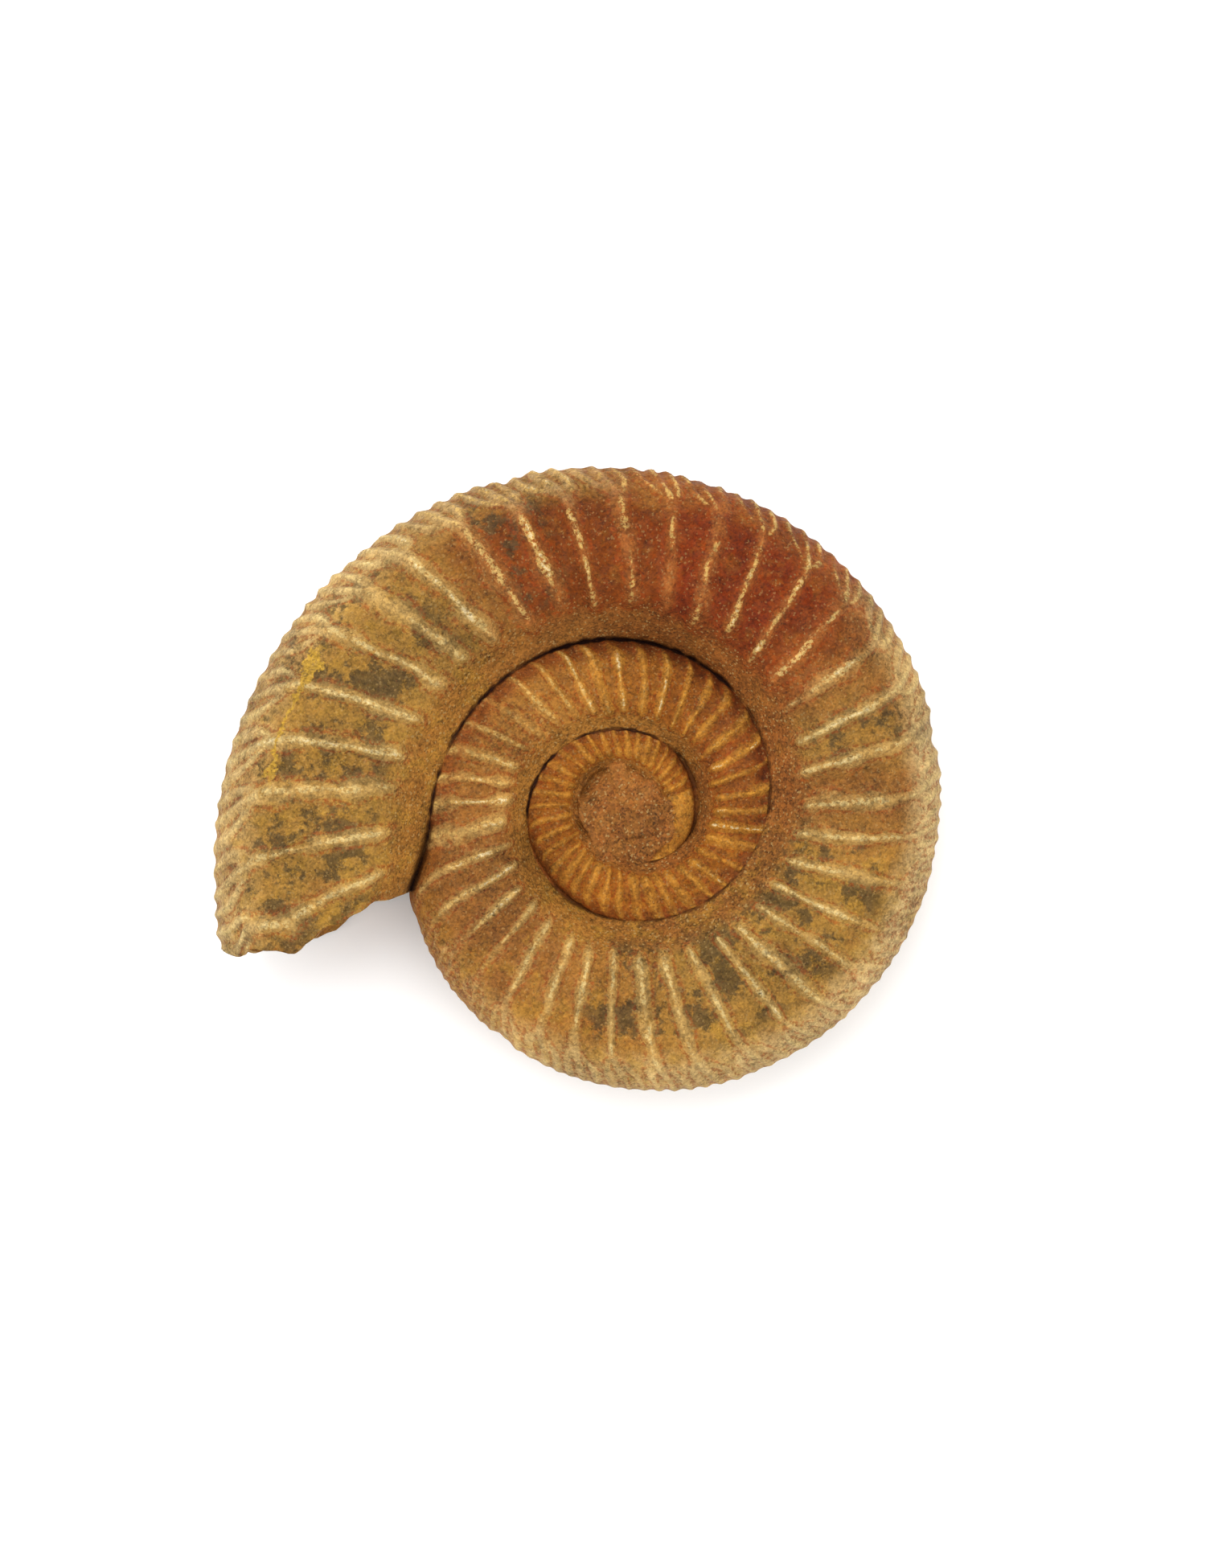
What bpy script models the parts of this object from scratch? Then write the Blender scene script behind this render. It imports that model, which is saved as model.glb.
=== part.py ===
"""Ammonite fossil: a coiled, ribbed shell turned to stone, lying flat on one side.

The shell is one closed body. It is a spiral of whorls around a pole. Each whorl meets the next
one along a seam, sandy matrix fills the middle, and the last whorl ends in a radial break.
A place along the coil is a number of turns, counted anticlockwise from +X. A place across a whorl
is a share of the way from its seam (0) to its rim (1). Lengths are in millimetres, and the mesh is
written in metres.
"""
import math

import bmesh
import bpy
import numpy as np

# Driving dimensions
SHELL_LENGTH = 60.0  # longest width of the coil, along X
BREAK_TURN = 1.5583  # where the last whorl is broken off
FIRST_TURN_TOP = -1.3333  # where the whorls start, under the matrix in the middle
FIRST_TURN_BOTTOM = -0.3333  # more matrix hides the whorls on the underside
BREAK_HALF_WIDTH = 8.3  # from the coil's mid plane to the side of the whorl, at the break
WIDTH_GROWTH = 0.55  # growth of that half width: natural log, per turn

# Seam between two whorls: a log spiral with a slow wave, and a flare next to the break
SEAM_RADIUS = 5.545
SEAM_GROWTH = 0.72
SEAM_WAVE = 0.30
SEAM_WAVE_LENGTH = 0.583
SEAM_WAVE_TURN = 0.25
SEAM_WAVE_GROWTH = 0.3  # the wave gets smaller towards the middle
FLARE = 2.1
FLARE_LENGTH = 0.047
LARGEST_SEAM_SHARE = 0.985  # the next whorl never reaches past this share of a whorl's side

# Rim of the whorls: a log spiral set off from the pole; inner rims are a multiple of the seam
RIM_RADIUS = 13.756
RIM_GROWTH = 0.6044
RIM_OFFSET = 1.567
RIM_OFFSET_TURN = 0.8143
INNER_RIM_OVER_SEAM = 2.19
INNER_RIM_TURNS = (0.35, 0.55)  # the inner rule fades into the outer one between these

# Cross-section of a whorl
WIDEST_SHARE = 0.38  # where the whorl is widest
RIM_ROUNDNESS = 2.8  # exponent of the curve from the widest place to the rim
WALL_ROUNDNESS = 2.0  # exponent of the curve from the seam to the widest place
RIM_START_SHARE = 0.86  # where the rim starts on the open last whorl
RIM_START_TURNS = 0.12  # the seam line runs over into the rim's start in this length

# Ribs
RIBS_PER_TURN = 37
RIB_UNEVENNESS = 0.12  # each spacing differs from the mean by up to this share
RIB_SEED = 11
FIRST_RIB_DEG = 565.3
RIB_COUNT = 96
RIB_HEIGHT = 0.55  # at the break; it shrinks with the whorl
RIB_SHARPNESS = 1.5
RIB_SHARES = (0.08, 0.17, 0.84, 0.96)  # rises between the first two, fades between the last two
RIB_LEAN_DEG = 3.5  # how far a rib leans towards the break from seam to rim
CONSTRICTION_DEG = (236.0, 367.5, 465.0)
CONSTRICTION_DEPTH = 0.40
CONSTRICTION_WIDTH_DEG = 2.4

# Broken end of the last whorl
BREAK_BULGE_TURNS = 0.006  # the edge stands forward by this much on the flank
BREAK_BULGE_SHARE = 0.60
BREAK_BULGE_WIDTH = 0.16
BREAK_BLEND_TURNS = 0.03
BREAK_HOLLOW = 0.7  # the broken face is hollow by this much in its middle

# Matrix in the middle of each side: centre, outer radius, level over the mid plane
TOP_MATRIX_CENTRE = (-0.2, -0.85)
TOP_MATRIX_RADIUS = 4.1
TOP_MATRIX_LEVEL = 2.0
BOTTOM_MATRIX_CENTRE = (-1.3, -0.9)
BOTTOM_MATRIX_RADIUS = 8.3
BOTTOM_MATRIX_LEVEL = 2.6
MATRIX_EDGE = 0.6  # width of the band where it thins out
MATRIX_DOME = 0.25
MATRIX_POINT_SHIFT = 0.25  # the matrix's fan point lies off the pole by this share of the seam radius
MATRIX_POINT_TURNS = -0.25  # and in this direction from the first column

# How it lies: the coil's mid plane tips until the underside has three points of rest
REST_TIP_DEG = 2.9
REST_TIP_TOWARDS_DEG = 20.0
FLAT_DEPTH = 0.35  # worn off the lowest ribs, so it rests on small flats

# Mesh
COLUMNS_PER_TURN = 144
TOP_ROWS = 5
BOTTOM_ROWS = 4
RIM_ROWS = 8  # over the rim, from the top flank to the bottom one
SECTION_SAMPLES = 121
TANGENT_STEP = 1e-4  # step in share for the section's slope

MM = 0.001
COLUMNS = round((BREAK_TURN - FIRST_TURN_TOP) * COLUMNS_PER_TURN)
SKIPPED_BOTTOM_COLUMNS = round((FIRST_TURN_BOTTOM - FIRST_TURN_TOP) * COLUMNS_PER_TURN)


def clear_scene():
    """Remove whatever the file already holds."""
    for obj in list(bpy.data.objects):
        bpy.data.objects.remove(obj, do_unlink=True)


def smooth_step(low, high, value):
    """Rise from 0 at low to 1 at high, with level ends."""
    share = np.clip((value - low) / (high - low), 0.0, 1.0)
    return share * share * (3.0 - 2.0 * share)


def plain_seam_radius(turn):
    """Radius of the seam, before its flare."""
    wave = SEAM_WAVE * np.cos(2.0 * math.pi * (turn - SEAM_WAVE_TURN) / SEAM_WAVE_LENGTH)
    wave = wave * np.exp(SEAM_WAVE_GROWTH * np.minimum(turn, 0.0))
    return SEAM_RADIUS * np.exp(SEAM_GROWTH * turn) - wave


def seam_radius(turn, side):
    """Radius where a whorl meets the one inside it. Only the top seam flares."""
    reach = np.clip((turn - (BREAK_TURN - FLARE_LENGTH)) / FLARE_LENGTH, 0.0, 1.0)
    return plain_seam_radius(turn) + FLARE * reach**2 * (side > 0)


def rim_radius(turn):
    """Radius of a whorl's outer edge."""
    offset = RIM_OFFSET * np.cos(2.0 * math.pi * (turn - RIM_OFFSET_TURN))
    outer = RIM_RADIUS * np.exp(RIM_GROWTH * turn) + offset
    inner = INNER_RIM_OVER_SEAM * plain_seam_radius(turn)
    share = smooth_step(*INNER_RIM_TURNS, turn)
    return inner + share * (outer - inner)


def half_width(turn):
    """Distance from the coil's mid plane to the side of a whorl."""
    return BREAK_HALF_WIDTH * np.exp(WIDTH_GROWTH * (turn - BREAK_TURN))


def covered_share(turn, side):
    """Share of a whorl's side that shows before the next whorl covers it."""
    open_turn = BREAK_TURN - 1.0
    at = np.minimum(turn, open_turn)
    seam = seam_radius(at, side)
    share = (seam_radius(at + 1.0, side) - seam) / (rim_radius(at) - seam)
    share = np.clip(share, 0.0, LARGEST_SEAM_SHARE)
    opened = smooth_step(open_turn, open_turn + RIM_START_TURNS, turn)
    return share + (RIM_START_SHARE - share) * opened


def outer_curve(share):
    """Height of the section from its widest place to the rim, as a share of the half width."""
    reach = np.clip((share - WIDEST_SHARE) / (1.0 - WIDEST_SHARE), 0.0, 1.0)
    return (1.0 - reach**RIM_ROUNDNESS) ** (1.0 / RIM_ROUNDNESS)


def section_height(turn, share, side):
    """Height of a whorl's side over the mid plane."""
    width = half_width(turn)
    seam = half_width(turn - 1.0) * outer_curve(covered_share(turn - 1.0, side))
    wall = 1.0 - np.clip((WIDEST_SHARE - share) / WIDEST_SHARE, 0.0, 1.0) ** WALL_ROUNDNESS
    inside = seam + (width - seam) * wall
    return np.where(share < WIDEST_SHARE, inside, width * outer_curve(share))


def row_shares(turn, side, rows_below, rows_above):
    """Shares of the rows on one side, evenly spaced along the section on each side of the seam line."""
    samples = 1.0 - (1.0 - np.linspace(0.0, 1.0, SECTION_SAMPLES)) ** 3
    seam = seam_radius(turn, side)
    radius = seam + samples * (rim_radius(turn) - seam)
    height = section_height(turn, samples, side)
    steps = np.hypot(np.diff(radius), np.diff(height))
    length = np.concatenate([[0.0], np.cumsum(steps)])
    split = np.interp(covered_share(turn, side), samples, length)
    below = np.linspace(0.0, split, rows_below + 1)
    above = np.linspace(split, length[-1], rows_above + 1)[1:]
    return np.interp(np.concatenate([below, above]), length, samples)


def rib_turns():
    """Places of the primary ribs, from the break inwards, a little unevenly spaced."""
    draw = np.random.default_rng(RIB_SEED)
    uneven = draw.uniform(-RIB_UNEVENNESS, RIB_UNEVENNESS, RIB_COUNT - 1)
    steps = (1.0 + uneven) / RIBS_PER_TURN
    return FIRST_RIB_DEG / 360.0 - np.concatenate([[0.0], np.cumsum(steps)])


def relief(turn, share):
    """Height of ribs over the plain section, and depth of constrictions, at one place."""
    places = rib_turns()[::-1]
    straight = turn - RIB_LEAN_DEG / 360.0 * (share - 0.5)
    phase = np.interp(straight, places, np.arange(RIB_COUNT), left=0.0, right=RIB_COUNT - 0.5)
    crest = (0.5 + 0.5 * np.cos(2.0 * math.pi * phase)) ** RIB_SHARPNESS
    rise = smooth_step(RIB_SHARES[0], RIB_SHARES[1], share)
    fade = 1.0 - smooth_step(RIB_SHARES[2], RIB_SHARES[3], share)
    size = half_width(turn) / BREAK_HALF_WIDTH
    height = RIB_HEIGHT * size * crest * rise * fade
    for degrees in CONSTRICTION_DEG:
        away = (straight * 360.0 - degrees) / CONSTRICTION_WIDTH_DEG
        height = height - CONSTRICTION_DEPTH * size * rise * np.exp(-(away**2))
    return height


def matrix_height(x, y, side):
    """Height of the matrix in the middle, and how fully it covers a place."""
    centre = TOP_MATRIX_CENTRE if side > 0 else BOTTOM_MATRIX_CENTRE
    reach = TOP_MATRIX_RADIUS if side > 0 else BOTTOM_MATRIX_RADIUS
    level = TOP_MATRIX_LEVEL if side > 0 else BOTTOM_MATRIX_LEVEL
    radius = np.hypot(x - centre[0], y - centre[1])
    cover = 1.0 - smooth_step(reach - MATRIX_EDGE, reach, radius)
    dome = MATRIX_DOME * np.clip(1.0 - (radius / reach) ** 2, 0.0, 1.0)
    return level + dome, cover


def shell_point(turn, share, side):
    """A point on the shell: side is +1 on top and -1 underneath."""
    away = (share - BREAK_BULGE_SHARE) / BREAK_BULGE_WIDTH
    near_break = smooth_step(BREAK_TURN - BREAK_BLEND_TURNS, BREAK_TURN, turn)
    place = turn + BREAK_BULGE_TURNS * np.exp(-(away**2)) * near_break
    seam, rim = seam_radius(turn, side), rim_radius(turn)
    lift = relief(turn, share)
    height = section_height(turn, share, side)
    ahead, behind = min(share + TANGENT_STEP, 1.0), share - TANGENT_STEP
    slope_height = section_height(turn, ahead, side) - section_height(turn, behind, side)
    slope_radius = (rim - seam) * (ahead - behind)
    length = math.hypot(slope_height, slope_radius)
    radius = seam + share * (rim - seam) - lift * slope_height / length
    height = height + lift * slope_radius / length
    angle = 2.0 * math.pi * place
    x, y = radius * math.cos(angle), radius * math.sin(angle)
    level, cover = matrix_height(x, y, side)
    height = height + cover * (level - height)
    return (x, y, side * height)


class ShellMesh:
    """Grid of the whorls' sides and rim, with a fan in the middle and over the broken end."""

    def __init__(self):
        self.bm = bmesh.new()
        self.top = {}
        self.rim = {}
        self.bottom = {}

    def turn(self, column):
        return BREAK_TURN - (COLUMNS - column) / COLUMNS_PER_TURN

    def add_side(self, grid, first_column, rows, side):
        """Vertices of one side; a whorl's last row is the next whorl's first row."""
        for column in range(COLUMNS, first_column - 1, -1):
            shares = row_shares(self.turn(column), side, rows, 1)
            for row in range(rows + 1):
                shared = (column + COLUMNS_PER_TURN, 0)
                if row == rows and shared in grid:
                    grid[column, row] = grid[shared]
                else:
                    place = shell_point(self.turn(column), float(shares[row]), side)
                    grid[column, row] = self.bm.verts.new(place)
        for column in range(first_column, COLUMNS):
            if column + COLUMNS_PER_TURN <= COLUMNS:
                grid[column, rows] = grid[column + COLUMNS_PER_TURN, 0]

    def add_rim(self):
        """Vertices over the rim of the last whorl, from the top flank to the bottom one."""
        half = RIM_ROWS // 2
        for column in range(COLUMNS - COLUMNS_PER_TURN, COLUMNS + 1):
            shares = {side: row_shares(self.turn(column), side, 1, half)[2:] for side in (1, -1)}
            self.rim[column, 0] = self.top[column, TOP_ROWS]
            self.rim[column, RIM_ROWS] = self.bottom[column, BOTTOM_ROWS]
            for row in range(1, RIM_ROWS):
                step = min(row, RIM_ROWS - row)
                side = 1 if row <= half else -1
                place = shell_point(self.turn(column), float(shares[side][step - 1]), side)
                self.rim[column, row] = self.bm.verts.new(place)

    def add_faces(self, grid, first_column, rows):
        """Triangles between neighbouring columns and rows."""
        for column in range(first_column, COLUMNS):
            for row in range(rows):
                a, b = grid[column, row], grid[column + 1, row]
                c, d = grid[column + 1, row + 1], grid[column, row + 1]
                self.bm.faces.new((a, b, c))
                self.bm.faces.new((a, c, d))

    def add_fan(self, loop, centre):
        """Triangles from a closed loop of vertices to one point."""
        middle = self.bm.verts.new(centre)
        for first, second in zip(loop, loop[1:] + loop[:1]):
            self.bm.faces.new((first, second, middle))

    def add_middle(self, grid, first_column, rows, side):
        """Matrix inside the innermost seam. The fan's point lies where it sees the whole loop."""
        loop = [grid[first_column + step, 0] for step in range(COLUMNS_PER_TURN + 1)]
        loop += [grid[first_column, row] for row in range(rows - 1, 0, -1)]
        angle = 2.0 * math.pi * (self.turn(first_column) + MATRIX_POINT_TURNS)
        shift = MATRIX_POINT_SHIFT * float(seam_radius(self.turn(first_column), side))
        x, y = shift * math.cos(angle), shift * math.sin(angle)
        level, _ = matrix_height(x, y, side)
        self.add_fan(loop, (x, y, side * float(level)))

    def add_break(self):
        """Broken end of the last whorl, a little hollow."""
        inner_column = COLUMNS - COLUMNS_PER_TURN
        loop = [self.top[COLUMNS, row] for row in range(TOP_ROWS + 1)]
        loop += [self.rim[COLUMNS, row] for row in range(1, RIM_ROWS)]
        loop += [self.bottom[COLUMNS, row] for row in range(BOTTOM_ROWS, -1, -1)]
        loop += [self.rim[inner_column, row] for row in range(RIM_ROWS - 1, 0, -1)]
        angle = 2.0 * math.pi * BREAK_TURN
        radius = 0.5 * float(seam_radius(BREAK_TURN, 1) + rim_radius(BREAK_TURN))
        x = radius * math.cos(angle) + BREAK_HOLLOW * math.sin(angle)
        y = radius * math.sin(angle) - BREAK_HOLLOW * math.cos(angle)
        self.add_fan(loop, (x, y, 0.0))

    def build(self):
        """The closed body, in millimetres around the pole of the spiral."""
        self.add_side(self.top, 0, TOP_ROWS, 1)
        self.add_side(self.bottom, SKIPPED_BOTTOM_COLUMNS, BOTTOM_ROWS, -1)
        self.add_rim()
        self.add_faces(self.top, 0, TOP_ROWS)
        self.add_faces(self.bottom, SKIPPED_BOTTOM_COLUMNS, BOTTOM_ROWS)
        self.add_faces(self.rim, COLUMNS - COLUMNS_PER_TURN, RIM_ROWS)
        self.add_middle(self.top, 0, TOP_ROWS, 1)
        self.add_middle(self.bottom, SKIPPED_BOTTOM_COLUMNS, BOTTOM_ROWS, -1)
        self.add_break()
        return self.bm


def lay_down(bm):
    """Tip the coil to rest on its underside, size it, and put the middle of its base at the origin."""
    tip = math.radians(REST_TIP_DEG)
    towards = math.radians(REST_TIP_TOWARDS_DEG)
    across = (-math.sin(towards), math.cos(towards), 0.0)
    from_axis = math.cos(towards), math.sin(towards)
    for vert in bm.verts:
        along = vert.co.x * from_axis[0] + vert.co.y * from_axis[1]
        side = vert.co.x * across[0] + vert.co.y * across[1]
        turned = along * math.cos(tip) + vert.co.z * math.sin(tip)
        height = vert.co.z * math.cos(tip) - along * math.sin(tip)
        vert.co.x = turned * from_axis[0] + side * across[0]
        vert.co.y = turned * from_axis[1] + side * across[1]
        vert.co.z = height
    low = [min(vert.co[axis] for vert in bm.verts) for axis in range(3)]
    high = [max(vert.co[axis] for vert in bm.verts) for axis in range(3)]
    size = SHELL_LENGTH / (high[0] - low[0])
    for vert in bm.verts:
        vert.co.x = (vert.co.x - (low[0] + high[0]) / 2.0) * size * MM
        vert.co.y = (vert.co.y - (low[1] + high[1]) / 2.0) * size * MM
        vert.co.z = max(vert.co.z - low[2] - FLAT_DEPTH, 0.0) * size * MM


def fossil_material():
    """Plain brown stone."""
    material = bpy.data.materials.new("fossil_stone")
    material.use_nodes = True
    shader = material.node_tree.nodes["Principled BSDF"]
    shader.inputs["Base Color"].default_value = (0.38, 0.20, 0.07, 1.0)
    shader.inputs["Roughness"].default_value = 0.6
    shader.inputs["Metallic"].default_value = 0.0
    return material


def make_ammonite():
    """The fossil as one object."""
    bm = ShellMesh().build()
    lay_down(bm)
    bmesh.ops.recalc_face_normals(bm, faces=bm.faces)
    mesh = bpy.data.meshes.new("ammonite")
    bm.to_mesh(mesh)
    bm.free()
    mesh.materials.append(fossil_material())
    mesh.shade_smooth()
    mesh.set_sharp_from_angle(angle=math.radians(55.0))
    ammonite = bpy.data.objects.new("ammonite", mesh)
    bpy.context.scene.collection.objects.link(ammonite)


clear_scene()
make_ammonite()
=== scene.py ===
"""Looks of the ammonite fossil: its fine mesh, its stone, the floor, the light and the camera.

The fine mesh stands for the CAD solid and lies in the same box. A place along the coil is a number
of turns, counted anticlockwise from +X. A place across a whorl is a share of the way from its seam
(0) to its rim (1). Shapes are worked out in millimetres and written in metres.
"""
import math

import bpy
import numpy as np
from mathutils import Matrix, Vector


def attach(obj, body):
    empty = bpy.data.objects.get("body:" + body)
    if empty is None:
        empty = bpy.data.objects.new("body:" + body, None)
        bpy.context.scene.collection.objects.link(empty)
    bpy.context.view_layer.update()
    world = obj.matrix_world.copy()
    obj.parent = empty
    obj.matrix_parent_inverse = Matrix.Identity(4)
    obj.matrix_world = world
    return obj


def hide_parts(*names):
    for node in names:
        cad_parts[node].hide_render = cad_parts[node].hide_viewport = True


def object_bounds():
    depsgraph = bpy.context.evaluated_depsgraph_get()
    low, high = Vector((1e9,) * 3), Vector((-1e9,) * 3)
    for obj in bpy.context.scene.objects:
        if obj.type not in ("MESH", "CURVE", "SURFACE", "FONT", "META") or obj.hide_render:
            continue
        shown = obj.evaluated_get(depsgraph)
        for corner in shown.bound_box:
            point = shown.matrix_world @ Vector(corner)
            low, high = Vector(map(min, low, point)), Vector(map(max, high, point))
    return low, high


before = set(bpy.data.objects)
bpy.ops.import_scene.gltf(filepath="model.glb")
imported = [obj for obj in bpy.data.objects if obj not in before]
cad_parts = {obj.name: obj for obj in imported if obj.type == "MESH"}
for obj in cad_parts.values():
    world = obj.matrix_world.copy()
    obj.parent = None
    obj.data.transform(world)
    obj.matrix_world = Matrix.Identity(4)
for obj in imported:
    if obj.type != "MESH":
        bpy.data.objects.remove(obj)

CAD_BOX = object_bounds()
MM = 0.001

# The coil, as in the CAD part
BREAK_TURN = 1.5583
FIRST_TURN_TOP = -1.3333
FIRST_TURN_BOTTOM = -0.3333
BREAK_HALF_WIDTH = 8.3
WIDTH_GROWTH = 0.55
SEAM_RADIUS = 5.545
SEAM_GROWTH = 0.72
SEAM_WAVE = 0.30
SEAM_WAVE_LENGTH = 0.583
SEAM_WAVE_TURN = 0.25
SEAM_WAVE_GROWTH = 0.3
FLARE = 2.1
FLARE_LENGTH = 0.047
LARGEST_SEAM_SHARE = 0.985
RIM_RADIUS = 13.756
RIM_GROWTH = 0.6044
RIM_OFFSET = 1.567
RIM_OFFSET_TURN = 0.8143
INNER_RIM_OVER_SEAM = 2.19
INNER_RIM_TURNS = (0.35, 0.55)
WIDEST_SHARE = 0.38
RIM_ROUNDNESS = 2.8
WALL_ROUNDNESS = 2.0
RIM_START_SHARE = 0.86
RIM_START_TURNS = 0.12
REST_TIP_DEG = 2.9
REST_TIP_TOWARDS_DEG = 20.0
FLAT_DEPTH = 0.35

# Ribs
RIBS_PER_TURN = 37
RIB_UNEVENNESS = 0.12  # each spacing differs from the mean by up to this share
RIB_SEED = 11
FIRST_RIB_DEG = 565.3
RIB_COUNT = 96
RIB_HEIGHT = 0.46
RIB_HALF_WIDTH = 0.56
RIB_SWELL = 0.20  # broad swell under each rib, which makes the grooves hollow
RIB_SHARES = (0.09, 0.24)
RIB_FADE_SHARES = (0.74, 0.94)
RIB_LEAN_DEG = 3.5
RIM_SWEEP_DEG = 4.5
SWEEP_SHARES = (0.76, 1.08)
SPLIT_SHARES = (0.76, 0.93)
RIM_RIB_SHARES = (0.77, 0.91)
RIM_RIB_HEIGHT = 0.34
RIM_RIB_HALF_WIDTH = 0.48
RIM_RIB_TURNS = (-0.02, 0.05)  # the branches show from here on, counted from the last covered whorl
BRANCHES = (-1, 0, 1)
LINE_WIDTH = 0.52  # of a rib's half width: the pale line on its crest
PALE_RIBS_DEG = (-75.0, -20.0)  # the ribs turn pale between these
THICK_RIBS_DEG = (172.0, 30.0)  # and are thickest here, within this much
LAST_RIB_BREADTH = 2.0  # of a usual rib: the one along the broken end
LAST_RIB_PALENESS = 1.2
CONSTRICTION_DEG = (236.0, 367.5, 465.0)
CONSTRICTION_DEPTH = 0.42
CONSTRICTION_WIDTH_DEG = 2.4

# Worn places on the top side: how much, where in degrees, how far round, and the shares it rises between
WORN_PLACES = (
    (0.6, 222.0, 20.0, (0.30, 0.75)),
    (0.5, 146.0, 18.0, (-1.0, 0.0)),
    (0.5, 340.0, 30.0, (0.60, 0.85)),
    (0.3, 275.0, 40.0, (0.70, 0.90)),
)
MOST_WORN = 0.85

# Broken end of the last whorl
BREAK_BULGE_TURNS = 0.006
BREAK_BULGE_SHARE = 0.60
BREAK_BULGE_WIDTH = 0.16
BREAK_BLEND_TURNS = 0.03
BREAK_CORNER_TURNS = 0.005
BREAK_DEPTH = 0.5  # how far the fill lies behind the deepest part of the edge
SHELL_THICKNESS = 0.45
SHELL_STEP = 0.25  # from the shell's wall back to the fill

# Dust that fills the seams
SEAM_DUST = 0.34
SEAM_DUST_WIDTH = 0.75
SEAM_BLEND = 1.0

# Open cracks along the seams, carved and painted dark: partly the cracks' own colour, partly painted
# shade in the seams. Four stops: rises between the first two, falls between the last two
CRACK_AND_SHADE = 0.38
# Along the upper arc of the last seam the line is painted darkest, mostly as painted shade in the seam
UPPER_CRACK_AND_SHADE = 0.85  # added along the upper arc of the last seam
OTHER_CRACK_AND_SHADE = 0.42  # added along the second whorl's arc and the last arc
UPPER_ARC_DEG = (392.0, 425.0, 472.0, 490.0)
SECOND_ARC_DEG = (60.0, 85.0, 215.0, 245.0)
LAST_ARC_DEG = (478.0, 500.0)
CRACK_START_DEG = (-170.0, -60.0)
CRACK_DEPTH = 0.35
MOUTH_DEG = (536.0, 556.0)  # the seam opens into the notch at the broken end
PIT_WIDTH = 0.36
# The pit where the seam opens into the notch is painted dark: painted shade in the slot as well as its
# own colour
PIT_DARKNESS = 0.62
PIT_DEPTH = 0.55

# Matrix in the middle of each side: centre, outer radius, level over the mid plane
MATRIX = {
    1: {"centre": (-0.2, -0.85), "radius": 4.0, "level": 2.0},
    -1: {"centre": (-1.3, -0.9), "radius": 8.3, "level": 2.6},
}
MATRIX_EDGE = 0.6
MATRIX_DOME = 0.25
MATRIX_POINT_SHIFT = 0.25  # the rings shrink to a point off the pole, by this share of the seam radius
MATRIX_POINT_TURNS = -0.25  # and in this direction from the first column

# Fine mesh
COLUMNS_PER_TURN = 840
TOP_ROWS = 40
BOTTOM_ROWS = 26
RIM_ROWS = 56
BREAK_RINGS = 26
TOP_MIDDLE_RINGS = 14
BOTTOM_MIDDLE_RINGS = 30
SECTION_SAMPLES = 161
TANGENT_STEP = 1e-4  # step in share for the section's slope

COLUMNS = round((BREAK_TURN - FIRST_TURN_TOP) * COLUMNS_PER_TURN)
FIRST_BOTTOM_COLUMN = round((FIRST_TURN_BOTTOM - FIRST_TURN_TOP) * COLUMNS_PER_TURN)
FIRST_RIM_COLUMN = COLUMNS - COLUMNS_PER_TURN


# Shape ------------------------------------------------------------------------------------------


def smooth_step(low, high, value):
    """Rise from 0 at low to 1 at high, with level ends."""
    share = np.clip((value - low) / (high - low), 0.0, 1.0)
    return share * share * (3.0 - 2.0 * share)


def bump_at(value, centre, width):
    """A bell from 0 to 1 around centre."""
    return np.exp(-(((value - centre) / width) ** 2))


def between(stops, value):
    """Rise from 0 to 1 between the first two stops, and fall back between the last two."""
    return smooth_step(*stops[:2], value) * (1.0 - smooth_step(*stops[2:], value))


class Noise:
    """Smooth noise from -1 to 1 over space, repeating far outside the shell."""

    SIDE = 64

    def __init__(self, seed):
        self.table = np.random.default_rng(seed).uniform(-1.0, 1.0, (self.SIDE,) * 3)

    def __call__(self, points, size):
        scaled = points / size + 17.3
        cell = np.floor(scaled).astype(int)
        part = scaled - cell
        part = part * part * (3.0 - 2.0 * part)
        total = np.zeros(points.shape[:-1])
        for corner in np.ndindex(2, 2, 2):
            at = (cell + corner) % self.SIDE
            weight = np.prod(np.where(corner, part, 1.0 - part), axis=-1)
            total += weight * self.table[at[..., 0], at[..., 1], at[..., 2]]
        return total

    def layers(self, points, size, count):
        """Sum of ever finer noise, from about -1 to 1."""
        total = np.zeros(points.shape[:-1])
        for step in range(count):
            total += 0.5**step * self(points + 31.7 * step, size / 2.0**step)
        return total


def plain_seam_radius(turn):
    """Radius of the seam, before its flare."""
    wave = SEAM_WAVE * np.cos(2.0 * math.pi * (turn - SEAM_WAVE_TURN) / SEAM_WAVE_LENGTH)
    wave = wave * np.exp(SEAM_WAVE_GROWTH * np.minimum(turn, 0.0))
    return SEAM_RADIUS * np.exp(SEAM_GROWTH * turn) - wave


def seam_radius(turn, side):
    """Radius where a whorl meets the one inside it. Only the top seam flares."""
    reach = np.clip((turn - (BREAK_TURN - FLARE_LENGTH)) / FLARE_LENGTH, 0.0, 1.0)
    return plain_seam_radius(turn) + FLARE * reach**2 * (side > 0)


def rim_radius(turn):
    """Radius of a whorl's outer edge."""
    offset = RIM_OFFSET * np.cos(2.0 * math.pi * (turn - RIM_OFFSET_TURN))
    outer = RIM_RADIUS * np.exp(RIM_GROWTH * turn) + offset
    inner = INNER_RIM_OVER_SEAM * plain_seam_radius(turn)
    return inner + smooth_step(*INNER_RIM_TURNS, turn) * (outer - inner)


def half_width(turn):
    """Distance from the coil's mid plane to the side of a whorl."""
    return BREAK_HALF_WIDTH * np.exp(WIDTH_GROWTH * (turn - BREAK_TURN))


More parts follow.
